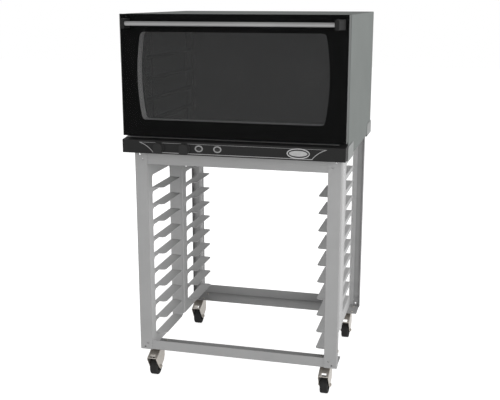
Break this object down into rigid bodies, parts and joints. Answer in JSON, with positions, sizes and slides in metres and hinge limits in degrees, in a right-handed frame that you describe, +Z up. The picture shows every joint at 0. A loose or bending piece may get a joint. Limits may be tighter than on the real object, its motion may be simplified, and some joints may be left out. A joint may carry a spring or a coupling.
{
  "type": "convection oven",
  "caption": "Countertop convection oven with a wide drop-down glass door and a control strip, standing on a sheet-metal stand with tray ledges and swivel casters.",
  "frame": {"origin": "on the floor under the middle of the object", "axes": "+X to the right of a person in front of the oven, +Y towards the back, +Z up; the door faces -Y"},
  "size_m": [0.8046, 0.7878, 1.377],
  "materials": {
    "cabinet_steel": "satin stainless sheet",
    "cavity_steel": "dull stainless sheet",
    "window_steel": "grey coated sheet",
    "glass": "grey tinted toughened glass",
    "black_print": "black enamel print",
    "panel_black": "satin black",
    "black_plastic": "satin black",
    "seal_rubber": "matt black silicone",
    "handle_steel": "brushed round bar",
    "ring_grey": "satin grey",
    "lens_dark": "unlit dark lens",
    "plate_metal": "satin",
    "stand_steel": "satin stainless sheet",
    "bracket_steel": "bright stainless sheet",
    "wheel_rubber": "matt black",
    "hub_plastic": "satin black",
    "mineral_wool": "pale wool",
    "element_metal": "dark heat-coloured sheath",
    "motor_metal": "dark",
    "lamp_ceramic": "white",
    "zinc_steel": "bright zinc"
  },
  "bodies": {
    "frame": {"cabinet_shell": "cabinet_steel", "cabinet_back": "cabinet_steel", "cabinet_base": "cabinet_steel", "front_frame": "cabinet_steel", "cavity_liner": "cavity_steel", "cavity_back": "cavity_steel", "insulation": "mineral_wool", "fan_guard": "cavity_steel", "heating_elements": "element_metal", "fan_motors": "motor_metal", "tray_runners": "cavity_steel", "lamp_lens": "glass", "lamp_holder": "lamp_ceramic", "door_gasket": "seal_rubber", "steam_outlet": "cavity_steel", "cable_gland": "black_plastic", "hinge_arms": "zinc_steel", "fascia": "panel_black", "control_chassis": "zinc_steel", "switches": "black_plastic", "pilot_bezels": "ring_grey", "pilot_lenses": "lens_dark", "blank_plate": "plate_metal", "front_legs": "stand_steel", "rear_legs": "stand_steel", "top_rail_front": "stand_steel", "top_rail_rear": "stand_steel", "bottom_rail_front": "stand_steel", "bottom_rail_rear": "stand_steel", "slide_panel_left": "stand_steel", "slide_panel_right": "stand_steel", "seat_brackets": "bracket_steel", "oven_pads": "seal_rubber", "stand_bolts": "zinc_steel", "caster_plates": "zinc_steel"},
    "door": {"door_shell": "cabinet_steel", "door_glass": "glass", "glass_print": "black_print", "window_liner": "window_steel", "inner_glass": "glass", "glass_seal": "seal_rubber", "handle_bar": "handle_steel", "handle_ends": "black_plastic", "hinge_pins": "zinc_steel"},
    "timer_knob": {"timer_knob": "black_plastic"},
    "thermostat_knob": {"thermostat_knob": "black_plastic"},
    "fan_left": {"fan_left": "cavity_steel"},
    "fan_right": {"fan_right": "cavity_steel"},
    "fork_front_left": {"fork_front_left": "zinc_steel"},
    "wheel_front_left": {"hub_front_left": "hub_plastic", "tyre_front_left": "wheel_rubber"},
    "fork_front_right": {"fork_front_right": "zinc_steel"},
    "wheel_front_right": {"hub_front_right": "hub_plastic", "tyre_front_right": "wheel_rubber"},
    "fork_rear_left": {"fork_rear_left": "zinc_steel"},
    "wheel_rear_left": {"hub_rear_left": "hub_plastic", "tyre_rear_left": "wheel_rubber"},
    "fork_rear_right": {"fork_rear_right": "zinc_steel"},
    "wheel_rear_right": {"hub_rear_right": "hub_plastic", "tyre_rear_right": "wheel_rubber"}
  },
  "joints": [
    {"name": "door_hinge", "type": "hinge", "parent": "frame", "child": "door", "pos_m": [0, -0.32812, 0.9605], "axis": [1, 0, 0], "range_deg": [0, 90]},
    {"name": "timer_turn", "type": "hinge", "parent": "frame", "child": "timer_knob", "pos_m": [-0.2635, -0.34613, 0.9155], "axis": [0, 1, 0], "range_deg": [0, 300]},
    {"name": "thermostat_turn", "type": "hinge", "parent": "frame", "child": "thermostat_knob", "pos_m": [-0.168, -0.34613, 0.9155], "axis": [0, 1, 0], "range_deg": [0, 270]},
    {"name": "fan_left_spin", "type": "hinge", "parent": "frame", "child": "fan_left", "pos_m": [-0.165, 0.292, 1.133], "axis": [0, 1, 0], "continuous": true},
    {"name": "fan_right_spin", "type": "hinge", "parent": "frame", "child": "fan_right", "pos_m": [0.165, 0.292, 1.133], "axis": [0, 1, 0], "continuous": true},
    {"name": "swivel_front_left", "type": "hinge", "parent": "frame", "child": "fork_front_left", "pos_m": [-0.333, -0.22162, 0.108], "axis": [0, 0, 1], "continuous": true},
    {"name": "wheel_front_left_spin", "type": "hinge", "parent": "fork_front_left", "child": "wheel_front_left", "pos_m": [-0.333, -0.25162, 0.0325], "axis": [1, 0, 0], "continuous": true},
    {"name": "swivel_front_right", "type": "hinge", "parent": "frame", "child": "fork_front_right", "pos_m": [0.333, -0.22162, 0.108], "axis": [0, 0, 1], "continuous": true},
    {"name": "wheel_front_right_spin", "type": "hinge", "parent": "fork_front_right", "child": "wheel_front_right", "pos_m": [0.333, -0.25162, 0.0325], "axis": [1, 0, 0], "continuous": true},
    {"name": "swivel_rear_left", "type": "hinge", "parent": "frame", "child": "fork_rear_left", "pos_m": [-0.333, 0.32987, 0.108], "axis": [0, 0, 1], "continuous": true},
    {"name": "wheel_rear_left_spin", "type": "hinge", "parent": "fork_rear_left", "child": "wheel_rear_left", "pos_m": [-0.333, 0.29988, 0.0325], "axis": [1, 0, 0], "continuous": true},
    {"name": "swivel_rear_right", "type": "hinge", "parent": "frame", "child": "fork_rear_right", "pos_m": [0.333, 0.32987, 0.108], "axis": [0, 0, 1], "continuous": true},
    {"name": "wheel_rear_right_spin", "type": "hinge", "parent": "fork_rear_right", "child": "wheel_rear_right", "pos_m": [0.333, 0.29988, 0.0325], "axis": [1, 0, 0], "continuous": true}
  ]
}
